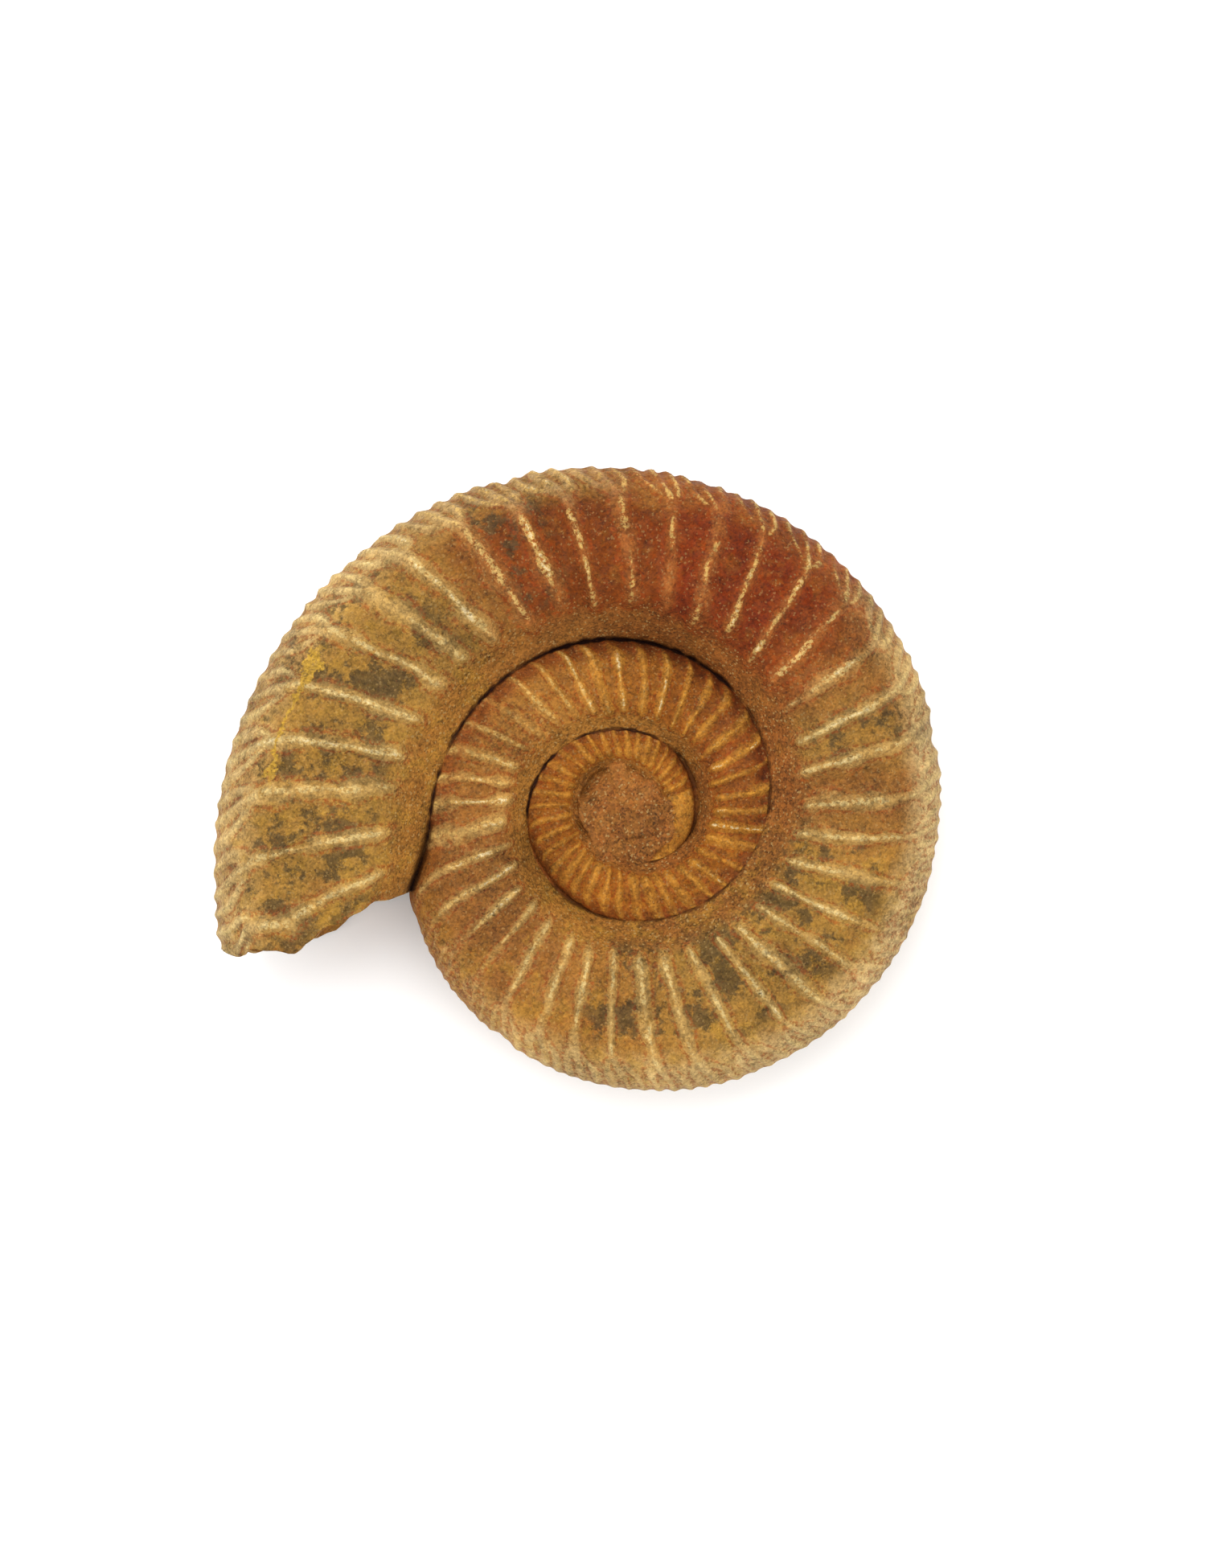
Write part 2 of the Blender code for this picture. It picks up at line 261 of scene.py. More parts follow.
def covered_share(turn, side):
    """Share of a whorl's side that shows before the next whorl covers it."""
    open_turn = BREAK_TURN - 1.0
    at = np.minimum(turn, open_turn)
    seam = seam_radius(at, side)
    share = (seam_radius(at + 1.0, side) - seam) / (rim_radius(at) - seam)
    share = np.clip(share, 0.0, LARGEST_SEAM_SHARE)
    opened = smooth_step(open_turn, open_turn + RIM_START_TURNS, turn)
    return share + (RIM_START_SHARE - share) * opened


def outer_curve(share):
    """Height of the section from its widest place to the rim, as a share of the half width."""
    reach = np.clip((share - WIDEST_SHARE) / (1.0 - WIDEST_SHARE), 0.0, 1.0)
    return (1.0 - reach**RIM_ROUNDNESS) ** (1.0 / RIM_ROUNDNESS)


def section_height(turn, share, side):
    """Height of a whorl's side over the mid plane."""
    width = half_width(turn)
    seam = half_width(turn - 1.0) * outer_curve(covered_share(turn - 1.0, side))
    wall = 1.0 - np.clip((WIDEST_SHARE - share) / WIDEST_SHARE, 0.0, 1.0) ** WALL_ROUNDNESS
    inside = seam + (width - seam) * wall
    return np.where(share < WIDEST_SHARE, inside, width * outer_curve(share))


def crowded(count):
    """Steps from 0 to 1, closer together at both ends."""
    even = np.linspace(0.0, 1.0, count + 1)
    return 0.35 * even + 0.65 * (0.5 - 0.5 * np.cos(math.pi * even))


def row_shares(turns, side, rows_below, rows_above):
    """Shares of the rows of each column, spaced along its section on each side of the seam line."""
    samples = 1.0 - (1.0 - np.linspace(0.0, 1.0, SECTION_SAMPLES)) ** 3
    rows = np.empty((len(turns), rows_below + rows_above + 1))
    for column, turn in enumerate(turns):
        seam = seam_radius(turn, side)
        radius = seam + samples * (rim_radius(turn) - seam)
        steps = np.hypot(np.diff(radius), np.diff(section_height(turn, samples, side)))
        length = np.concatenate([[0.0], np.cumsum(steps)])
        split = np.interp(covered_share(turn, side), samples, length)
        below = split * crowded(rows_below)
        above = np.linspace(split, length[-1], rows_above + 1)[1:]
        rows[column] = np.interp(np.concatenate([below, above]), length, samples)
    return rows


def rib_turns():
    """Places of the primary ribs, from the middle outwards, a little unevenly spaced."""
    draw = np.random.default_rng(RIB_SEED)
    uneven = draw.uniform(-RIB_UNEVENNESS, RIB_UNEVENNESS, RIB_COUNT - 1)
    steps = (1.0 + uneven) / RIBS_PER_TURN
    turns = FIRST_RIB_DEG / 360.0 - np.concatenate([[0.0], np.cumsum(steps)])
    return turns[::-1]


RIB_DRAW = np.random.default_rng(7)
RIB_TURNS = rib_turns() + RIB_DRAW.uniform(-0.0012, 0.0012, RIB_COUNT)
RIB_STRENGTH = RIB_DRAW.uniform(0.65, 1.15, RIB_COUNT)
RIB_BREADTH = RIB_DRAW.uniform(0.75, 1.3, RIB_COUNT)
RIB_PALENESS = RIB_DRAW.uniform(0.7, 1.25, RIB_COUNT)
RIB_START = RIB_DRAW.uniform(-0.02, 0.05, RIB_COUNT)
RIB_BREADTH[-1] = LAST_RIB_BREADTH
RIB_PALENESS[-1] = LAST_RIB_PALENESS
COARSE = Noise(1)
FINE = Noise(2)
CRUMB = Noise(3)


def wear(turn, share, side):
    """How much the ribs are worn down at a place: 0 is fresh and 1 is gone."""
    degrees = turn * 360.0
    worn = np.zeros_like(turn)
    for amount, centre, width, shares in WORN_PLACES:
        worn = worn + amount * bump_at(degrees, centre, width) * smooth_step(*shares, share)
    underneath = 0.25 + 0.3 * bump_at(degrees, 430.0, 60.0)
    return np.clip(np.where(side > 0, worn, underneath), 0.0, MOST_WORN)


def forward_lean(share):
    """How far ribs and constrictions reach towards the break at a share, in turns."""
    lean = RIB_LEAN_DEG * (share - 0.5) + RIM_SWEEP_DEG * smooth_step(*SWEEP_SHARES, share)
    return lean / 360.0


def ribs(turn, share, side, radius, points):
    """Height of the ribs, the pale line on their crests, and their warm-coloured flanks."""
    straight = turn - forward_lean(share)
    number = np.arange(RIB_COUNT)
    phase = np.interp(straight, RIB_TURNS, number)
    nearest = np.clip(np.round(phase).astype(int), 0, RIB_COUNT - 1)
    off = phase - nearest
    spacing = np.interp(straight, RIB_TURNS, np.gradient(RIB_TURNS)) * 2.0 * math.pi * radius
    size = (half_width(turn) / BREAK_HALF_WIDTH) ** 0.8
    wobble = size * (0.20 * COARSE(points, 2.2) + 0.09 * FINE(points, 0.7))
    rise = smooth_step(*RIB_SHARES, share - RIB_START[nearest])
    open_rim = smooth_step(*RIM_RIB_TURNS, turn - (BREAK_TURN - 1.0))
    spread = smooth_step(*SPLIT_SHARES, share) * open_rim
    over_rim = smooth_step(*RIM_RIB_SHARES, share) * open_rim
    fade = smooth_step(*RIB_FADE_SHARES, share - 0.06 * (1.0 - open_rim))
    fresh = 1.0 - wear(turn, share, side)
    whole = smooth_step(-0.60, 0.30, CRUMB.layers(points, 1.3, 2))
    degrees = turn * 360.0
    pale_part = 0.40 + 0.60 * smooth_step(*PALE_RIBS_DEG, degrees)
    thick_part = 1.0 + 0.45 * bump_at(degrees, *THICK_RIBS_DEG)
    strength = RIB_STRENGTH[nearest] * fresh * (0.6 + 0.4 * whole) * size
    paleness = RIB_PALENESS[nearest] * (0.3 + 0.7 * whole) * smooth_step(0.08, 0.26, share)
    paleness = paleness * pale_part * thick_part
    uneven = 1.05 + 0.65 * FINE(points + 4.0, 1.5)
    height = np.zeros_like(turn)
    line = np.zeros_like(turn)
    flank = np.zeros_like(turn)
    for branch in BRANCHES:
        away = (off - branch / 3.0 * spread) * spacing + wobble
        main = rise * (1.0 - fade) * (branch == 0)
        tall = RIB_HEIGHT * main + RIM_RIB_HEIGHT * over_rim
        width = RIB_HALF_WIDTH * RIB_BREADTH[nearest] * size * thick_part
        width = width + (RIM_RIB_HALF_WIDTH * size - width) * over_rim
        ridge = np.exp(-((away / width) ** 2))
        height = (height**4 + (tall * strength * ridge) ** 4) ** 0.25
        shown = np.clip(main + over_rim, 0.0, 1.0) * fresh
        core = np.exp(-((away / (LINE_WIDTH * width * uneven)) ** 2))
        line = np.maximum(line, shown * core * paleness)
        flank = np.maximum(flank, shown * np.exp(-((away / (1.25 * width * uneven)) ** 2)))
    swell = RIB_SWELL * (0.5 + 0.5 * np.cos(2.0 * math.pi * off)) * rise * (1.0 - spread)
    return height + swell * size * fresh, line, flank


def constrictions(turn, share):
    """Depth of the narrow waists across the whorls."""
    straight = (turn - forward_lean(share)) * 360.0
    depth = np.zeros_like(turn)
    for degrees in CONSTRICTION_DEG:
        depth += bump_at(straight, degrees, CONSTRICTION_WIDTH_DEG)
    return CONSTRICTION_DEPTH * depth * smooth_step(0.05, 0.2, share)


def weathering(points, size, eroded):
    """Unevenness of the stone: broad dents, lumps, grain and small pits."""
    dents = 0.12 * COARSE.layers(points, 7.0, 2)
    lumps = 0.05 * FINE.layers(points, 1.6, 2)
    grain = 0.045 * CRUMB.layers(points, 0.55, 2)
    pitted = smooth_step(-0.2, 0.5, COARSE(points, 4.0)) + eroded
    pits = smooth_step(0.40, 0.75, CRUMB(points + 9.0, 0.8)) * np.clip(pitted, 0.0, 1.5)
    hollows = eroded * np.abs(FINE.layers(points + 5.0, 1.2, 2))
    return (dents + lumps + grain - 0.11 * pits - 0.16 * hollows) * np.clip(size, 0.35, 1.0)


def seams_near(turn, share, side):
    """Millimetres to the nearest seam, and its place, told by the newer of its two whorls."""
    width = rim_radius(turn) - seam_radius(turn, side)
    inner = share * width
    outer = np.abs(covered_share(turn, side) - share) * width
    outer = np.where(turn > BREAK_TURN - 1.0, 99.0, outer)
    return np.minimum(inner, outer), np.where(inner < outer, turn, turn + 1.0)


def seam_crack_and_shade(turn, share, side, points, size):
    """Dark, cracked line along the seam, painted darker for the shade that falls into it, how far it and
    the dust raise the stone, and millimetres to the seam.
    """
    gap, place = seams_near(turn, share, side)
    degrees = place * 360.0
    upper_arc = between(UPPER_ARC_DEG, degrees)
    second_arc = between(SECOND_ARC_DEG, degrees)
    last_arc = smooth_step(*LAST_ARC_DEG, degrees)
    open_crack_and_shade = CRACK_AND_SHADE + UPPER_CRACK_AND_SHADE * upper_arc
    open_crack_and_shade = open_crack_and_shade + OTHER_CRACK_AND_SHADE * (second_arc + last_arc) * (side > 0)
    open_crack_and_shade = open_crack_and_shade * smooth_step(*CRACK_START_DEG, degrees)
    uneven = COARSE(points + 3.0, 1.8) + 1.6 * upper_arc + 0.5 * last_arc
    broken_up = smooth_step(-0.35, 0.35, uneven)
    ragged = gap + 0.10 * FINE.layers(points, 0.6, 3)
    crack_and_shade = open_crack_and_shade * broken_up * bump_at(ragged, 0.0, 0.07 + 0.08 * size)
    dust = SEAM_DUST * size * bump_at(gap, 0.0, SEAM_DUST_WIDTH * size)
    mouth = smooth_step(*MOUTH_DEG, degrees) * (side > 0)
    pit = mouth * bump_at(ragged, 0.0, PIT_WIDTH)
    crack_and_shade = np.maximum(crack_and_shade, PIT_DARKNESS * pit)
    return crack_and_shade, dust * (1.0 - mouth) - CRACK_DEPTH * crack_and_shade * size - PIT_DEPTH * pit, gap


def matrix_cover(points, side):
    """Height of the matrix in the middle, and how fully it covers a place."""
    facts = MATRIX[side]
    x = points[..., 0] - facts["centre"][0]
    y = points[..., 1] - facts["centre"][1]
    radius = np.hypot(x, y) + 0.65 * COARSE.layers(points, 1.9, 3) - 0.2
    cover = 1.0 - smooth_step(facts["radius"] - MATRIX_EDGE, facts["radius"], radius)
    dome = MATRIX_DOME * np.clip(1.0 - (radius / facts["radius"]) ** 2, 0.0, 1.0)
    lumps = 0.17 * COARSE.layers(points, 1.5, 2) + 0.09 * CRUMB.layers(points, 0.5, 3)
    return facts["level"] + dome + lumps, cover


def break_edge(share, side):
    """How far the broken edge stands forward of the plain break, in turns."""
    bulge = BREAK_BULGE_TURNS * bump_at(share, BREAK_BULGE_SHARE, BREAK_BULGE_WIDTH)
    corner = BREAK_CORNER_TURNS * smooth_step(0.9, 1.0, share)
    steps = 0.0014 * np.sin(share * 19.0 + side * 1.3) + 0.0006 * np.sin(share * 47.0 + side * 2.1)
    steps = steps * (1.0 - smooth_step(0.93, 1.0, share)) * smooth_step(0.0, 0.06, share)
    return bulge - corner + steps


def shell_points(turn, share, side):
    """Points of the shell in millimetres around the pole, and their fields for the stone."""
    near_break = smooth_step(BREAK_TURN - BREAK_BLEND_TURNS, BREAK_TURN, turn)
    place = turn + break_edge(share, side) * near_break
    seam, rim = seam_radius(turn, side), rim_radius(turn)
    reach = rim - seam
    radius = seam + share * reach
    height = section_height(turn, share, side)
    upper = np.minimum(share + TANGENT_STEP, 1.0)
    lower = np.maximum(share - TANGENT_STEP, 0.0)
    slope_height = section_height(turn, upper, side) - section_height(turn, lower, side)
    slope_radius = reach * (upper - lower)
    length = np.hypot(slope_height, slope_radius)
    angle = 2.0 * math.pi * place
    plain = np.stack([radius * np.cos(angle), radius * np.sin(angle), side * height], axis=-1)
    size = half_width(turn) / BREAK_HALF_WIDTH
    rib_height, line, flank = ribs(turn, share, side, radius, plain)
    covered = covered_share(turn, side)
    open_length = turn - (BREAK_TURN - 1.0)
    crack_and_shade, seam_rise, gap = seam_crack_and_shade(turn, share, side, plain, size)
    eroded = bump_at(turn * 360.0, 222.0, 24.0) + 0.8 * bump_at(turn * 360.0, 146.0, 20.0)
    lift = rib_height - constrictions(turn, share) * size
    lift = lift + weathering(plain, size, eroded)
    away = smooth_step(0.0, SEAM_BLEND * size, gap)  # beside a seam everything is raised straight up
    radius = radius - lift * away * slope_height / length
    height = height + lift * (away * slope_radius / length + 1.0 - away) + seam_rise
    level, cover = matrix_cover(plain, side)
    height = height + cover * (level - height)
    points = np.stack([radius * np.cos(angle), radius * np.sin(angle), side * height], axis=-1)
    fields = {
        "turn": turn,
        "across": share / (covered + (1.0 - covered) * smooth_step(-0.01, 0.06, open_length)),
        "share": share,
        "line": line * (1.0 - cover),
        "flank": flank * (1.0 - cover),
        "crack_and_shade": crack_and_shade * (1.0 - cover),
        "matrix": cover,
        "inside": np.full_like(turn, -1.0),
        "side": np.full_like(turn, side),
    }
    return points, fields


class FineMesh:
    """Vertices and faces of the whole shell, with the stone's fields at every face corner."""

    def __init__(self):
        self.points = []
        self.count = 0
        self.faces = []
        self.fields = []

    def add_points(self, points):
        """New vertices; returns their numbers in the same grid."""
        flat = points.reshape(-1, 3)
        numbers = np.arange(self.count, self.count + len(flat)).reshape(points.shape[:-1])
        self.points.append(flat)
        self.count += len(flat)
        return numbers

    def add_grid(self, numbers, fields, outward):
        """Faces between neighbouring rows and columns of a grid."""
        corners = [(slice(None, -1), slice(None, -1)), (slice(1, None), slice(None, -1))]
        corners += [(slice(1, None), slice(1, None)), (slice(None, -1), slice(1, None))]
        if not outward:
            corners = corners[::-1]
        self.faces.append(np.stack([numbers[c].ravel() for c in corners], axis=-1))
        at_corners = {}
        for name, values in fields.items():
            at_corners[name] = np.stack([values[c].ravel() for c in corners], axis=-1)
        self.fields.append(at_corners)

    def add_fan(self, loop, middle, fields, middle_fields, outward):
        """Triangles from a closed loop to one vertex."""
        following = np.roll(np.arange(len(loop)), -1)
        order = [np.arange(len(loop)), following]
        if outward:
            order = order[::-1]
        last = np.full(len(loop), middle)
        self.faces.append(np.stack([loop[order[0]], loop[order[1]], last], axis=-1))
        self.fields.append(
            {
                name: np.stack(
                    [values[order[0]], values[order[1]], np.full(len(loop), middle_fields[name])], axis=-1
                )
                for name, values in fields.items()
            }
        )


def turn_of(column):
    return BREAK_TURN - (COLUMNS - column) / COLUMNS_PER_TURN


def add_side(mesh, first_column, rows, side):
    """One side of the whorls. A whorl's last row is the next whorl's first row."""
    columns = np.arange(first_column, COLUMNS + 1)
    shares = row_shares(turn_of(columns), side, rows, 1)[:, : rows + 1]
    turns = np.repeat(turn_of(columns)[:, None], rows + 1, axis=1)
    points, fields = shell_points(turns, shares, side)
    shared = len(columns) - COLUMNS_PER_TURN
    numbers = np.empty(turns.shape, int)
    numbers[:, :rows] = mesh.add_points(points[:, :rows])
    numbers[shared:, rows] = mesh.add_points(points[shared:, rows])
    numbers[:shared, rows] = numbers[COLUMNS_PER_TURN:, 0]
    mesh.add_grid(numbers, fields, outward=side < 0)
    return numbers, fields


def add_rim(mesh, top, bottom):
    """The rim of the last whorl, from its top flank over to its bottom one."""
    half = RIM_ROWS // 2
    columns = np.arange(FIRST_RIM_COLUMN, COLUMNS + 1)
    turns = np.repeat(turn_of(columns)[:, None], half + 1, axis=1)
    upper, upper_fields = shell_points(turns, row_shares(turn_of(columns), 1, 1, half)[:, 1:], 1)
    lower, lower_fields = shell_points(turns, row_shares(turn_of(columns), -1, 1, half)[:, 1:], -1)
    middle = (upper[:, -1:] + lower[:, -1:]) / 2.0
    spread = smooth_step(0.0, 1.0, np.arange(half + 1) / half)[None, :, None] ** 3
    upper = upper + spread * (middle - upper[:, -1:])
    lower = lower + spread * (middle - lower[:, -1:])
    points = np.concatenate([upper, lower[:, -2::-1]], axis=1)
    fields = {
        name: np.concatenate([upper_fields[name], lower_fields[name][:, -2::-1]], axis=1)
        for name in upper_fields
    }
    numbers = np.empty(points.shape[:-1], int)
    numbers[:, 1:-1] = mesh.add_points(points[:, 1:-1])
    numbers[:, 0] = top[-len(columns) :, -1]
    numbers[:, -1] = bottom[-len(columns) :, -1]
    mesh.add_grid(numbers, fields, outward=False)
    return numbers, fields


def add_middle(mesh, numbers, fields, rings, side):
    """Matrix inside the innermost seam, in rings that shrink towards a point that sees them whole."""
    loop = np.concatenate([numbers[: COLUMNS_PER_TURN + 1, 0], numbers[0, -2:0:-1]])
    edge_fields = {
        name: np.concatenate([values[: COLUMNS_PER_TURN + 1, 0], values[0, -2:0:-1]])
        for name, values in fields.items()
    }
    all_points = np.concatenate(mesh.points)
    edge = all_points[loop]
    first_turn = FIRST_TURN_TOP if side > 0 else FIRST_TURN_BOTTOM
    angle = 2.0 * math.pi * (first_turn + MATRIX_POINT_TURNS)
    shift = MATRIX_POINT_SHIFT * float(seam_radius(first_turn, side))
    centre = np.array([shift * math.cos(angle), shift * math.sin(angle), 0.0])
    keep = 1.0 - np.linspace(0.0, 1.0, rings + 1)[:, None, None]
    points = centre + (edge - centre) * keep
    level = matrix_cover(points, side)[0]
    edge_blend = keep[..., 0] ** 6
    points[..., 2] = side * level + edge_blend * (edge[:, 2] - side * level)
    ring_numbers = np.empty((rings, len(loop)), int)
    ring_numbers[0] = loop
    ring_numbers[1:] = mesh.add_points(points[1:-1])
    middle = mesh.add_points(points[-1:, :1])[0, 0]
    ring_fields = {
        name: np.repeat(values[None], rings, axis=0).copy() for name, values in edge_fields.items()
    }
    ring_fields["matrix"][1:] = 1.0
    for name in ("line", "flank", "crack_and_shade"):
        ring_fields[name][1:] = 0.0
    closed = np.concatenate([ring_numbers, ring_numbers[:, :1]], axis=1)
    closed_fields = {
        name: np.concatenate([values, values[:, :1]], axis=1) for name, values in ring_fields.items()
    }
    mesh.add_grid(closed, closed_fields, outward=side < 0)
    last_fields = {name: values[-1] for name, values in ring_fields.items()}
    middle_fields = {name: values[-1, 0] for name, values in ring_fields.items()}
    mesh.add_fan(ring_numbers[-1], middle, last_fields, middle_fields, outward=side < 0)


def add_break(mesh, top, rim, bottom, top_fields, rim_fields, bottom_fields):
    """The broken end: a rough face in rings from its edge inwards, with the shell's wall around it."""
    parts = [top[-1], rim[-1, 1:-1], bottom[-1, ::-1], rim[0, -2:0:-1]]
    loop = np.concatenate(parts)
    field_parts = [(top_fields, -1, slice(None)), (rim_fields, -1, slice(1, -1))]
    field_parts += [(bottom_fields, -1, slice(None, None, -1)), (rim_fields, 0, slice(-2, 0, -1))]
    edge_fields = {
        name: np.concatenate([fields[name][row, part] for fields, row, part in field_parts])
        for name in top_fields
    }
    edge = np.concatenate(mesh.points)[loop]
    middle_angle = 2.0 * math.pi * BREAK_TURN
    edge_radius = np.hypot(edge[:, 0], edge[:, 1])
    edge_angle = np.arctan2(edge[:, 1], edge[:, 0]) - middle_angle
    edge_angle = np.remainder(edge_angle + math.pi, 2.0 * math.pi) - math.pi
    start = edge_angle * edge_radius
    across = np.stack([edge_radius, edge[:, 2]], axis=-1)
    centre = np.array([0.5 * (seam_radius(BREAK_TURN, -1) + rim_radius(BREAK_TURN)), 0.0])
    keep = (1.0 - np.linspace(0.0, 1.0, BREAK_RINGS + 1) ** 1.4)[:, None, None]
    flat = centre + (across - centre) * keep
    inwards = (1.0 - keep[..., 0]) * np.linalg.norm(across - centre, axis=-1)
    on_shell = np.arange(len(loop)) < len(loop) - len(parts[-1])
    wall = np.where(on_shell, SHELL_THICKNESS, 0.0)
    behind = smooth_step(wall, wall + 0.25, inwards)
    inner = smooth_step(wall, wall + 2.2, inwards)
    spots = np.stack([flat[..., 0], flat[..., 1], np.zeros_like(inwards)], axis=-1)
    rough = 0.40 * np.abs(COARSE.layers(spots, 4.0, 3)) + 0.16 * CRUMB.layers(spots, 1.0, 3)
    deepest = start.min() - BREAK_DEPTH
    depth = start + (deepest - start) * inner - SHELL_STEP * behind - rough * inner
    angle = middle_angle + depth / flat[..., 0]
    points = np.stack([flat[..., 0] * np.cos(angle), flat[..., 0] * np.sin(angle), flat[..., 1]], axis=-1)
    ring_numbers = np.empty((BREAK_RINGS, len(loop)), int)
    ring_numbers[0] = loop
    ring_numbers[1:] = mesh.add_points(points[1:-1])
    middle = mesh.add_points(points[-1:, :1])[0, 0]
    ring_fields = {
        name: np.repeat(values[None], BREAK_RINGS, axis=0).copy() for name, values in edge_fields.items()
    }
    ring_fields["inside"][:] = np.where(on_shell, inwards[:-1], 3.0)
    for name in ("line", "flank", "crack_and_shade"):
        ring_fields[name][1:] = 0.0
    closed = np.concatenate([ring_numbers, ring_numbers[:, :1]], axis=1)
    closed_fields = {
        name: np.concatenate([values, values[:, :1]], axis=1) for name, values in ring_fields.items()
    }
    mesh.add_grid(closed, closed_fields, outward=False)
    last_fields = {name: values[-1] for name, values in ring_fields.items()}
    middle_fields = {name: values[-1, 0] for name, values in ring_fields.items()}
    mesh.add_fan(ring_numbers[-1], middle, last_fields, middle_fields, outward=False)


def lay_down(points):
    """Tip the coil to rest on its underside, and fit it to the CAD box, in metres."""
    tip = math.radians(REST_TIP_DEG)
    towards = math.radians(REST_TIP_TOWARDS_DEG)
    ahead = np.array([math.cos(towards), math.sin(towards)])
    across = np.array([-math.sin(towards), math.cos(towards)])
    along = points[:, :2] @ ahead
    aside = points[:, :2] @ across
    turned = along * math.cos(tip) + points[:, 2] * math.sin(tip)
    height = points[:, 2] * math.cos(tip) - along * math.sin(tip)
    laid = np.column_stack([turned[:, None] * ahead + aside[:, None] * across, height])
    low, high = laid.min(axis=0), laid.max(axis=0)
    cad_low, cad_high = np.array(CAD_BOX[0]), np.array(CAD_BOX[1])
    size = (cad_high[0] - cad_low[0]) / (high[0] - low[0])
    laid[:, :2] = (laid[:, :2] - (low + high)[:2] / 2.0) * size + (cad_low + cad_high)[:2] / 2.0
    laid[:, 2] = np.maximum(laid[:, 2] - low[2] - FLAT_DEPTH, 0.0) * size + cad_low[2]
    return laid


def make_ammonite():
    """The whole fossil as one object."""
    mesh = FineMesh()
    top, top_fields = add_side(mesh, 0, TOP_ROWS, 1)
    bottom, bottom_fields = add_side(mesh, FIRST_BOTTOM_COLUMN, BOTTOM_ROWS, -1)
    rim, rim_fields = add_rim(mesh, top, bottom)
    add_middle(mesh, top, top_fields, TOP_MIDDLE_RINGS, 1)
    add_middle(mesh, bottom, bottom_fields, BOTTOM_MIDDLE_RINGS, -1)
    add_break(mesh, top, rim, bottom, top_fields, rim_fields, bottom_fields)
    points = lay_down(np.concatenate(mesh.points))
    faces = [face for group in mesh.faces for face in group.tolist()]
    data = bpy.data.meshes.new("ammonite_stone")
    data.from_pydata(points.tolist(), [], faces)
    for name in mesh.fields[0]:
        values = np.concatenate([group[name].ravel() for group in mesh.fields])
        layer = data.attributes.new(name, "FLOAT", "CORNER")
        layer.data.foreach_set("value", values.astype(np.float32))
    data.shade_smooth()
    data.materials.append(stone_material())
    ammonite = bpy.data.objects.new("ammonite_stone", data)
    bpy.context.scene.collection.objects.link(ammonite)
    return ammonite


# Stone ------------------------------------------------------------------------------------------


STAGE_LIGHT = 1.60  # how bright a white stone would look on this stage
GLOSS = 0.011  # what the surface's faint gloss adds
SPECULAR = 0.14
GRIT_SIZE = 0.14
BUMP_STRENGTH = 0.8
BUMP_DISTANCE = 0.055

# Parts of the coil, in degrees: from, to, and the softness of both ends
GOLDEN_DEG = ((222.0, 352.0, 8.0), (490.0, 600.0, 6.0))
STAINED_DEG = ((494.0, 562.0, 5.0), (373.0, 385.0, 2.0), (466.0, 482.0, 4.0))
LOWER_STAINED_DEG = (256.0, 355.0, 8.0)
CHALKY_DEG = ((215.0, 402.0, 8.0), (455.0, 600.0, 8.0))
YELLOW_DEG = (513.0, 536.0, 1.5)


def colour(red, green, blue):
    """The shader's colour for a place that is to look like this on screen, 0 to 255."""
    linear = []
    for value in (red, green, blue):
        part = value / 255.0
        shown = part / 12.92 if part <= 0.04045 else ((part + 0.055) / 1.055) ** 2.4
        linear.append(max(shown - GLOSS, 0.001) / STAGE_LIGHT)
    return (*linear, 1.0)


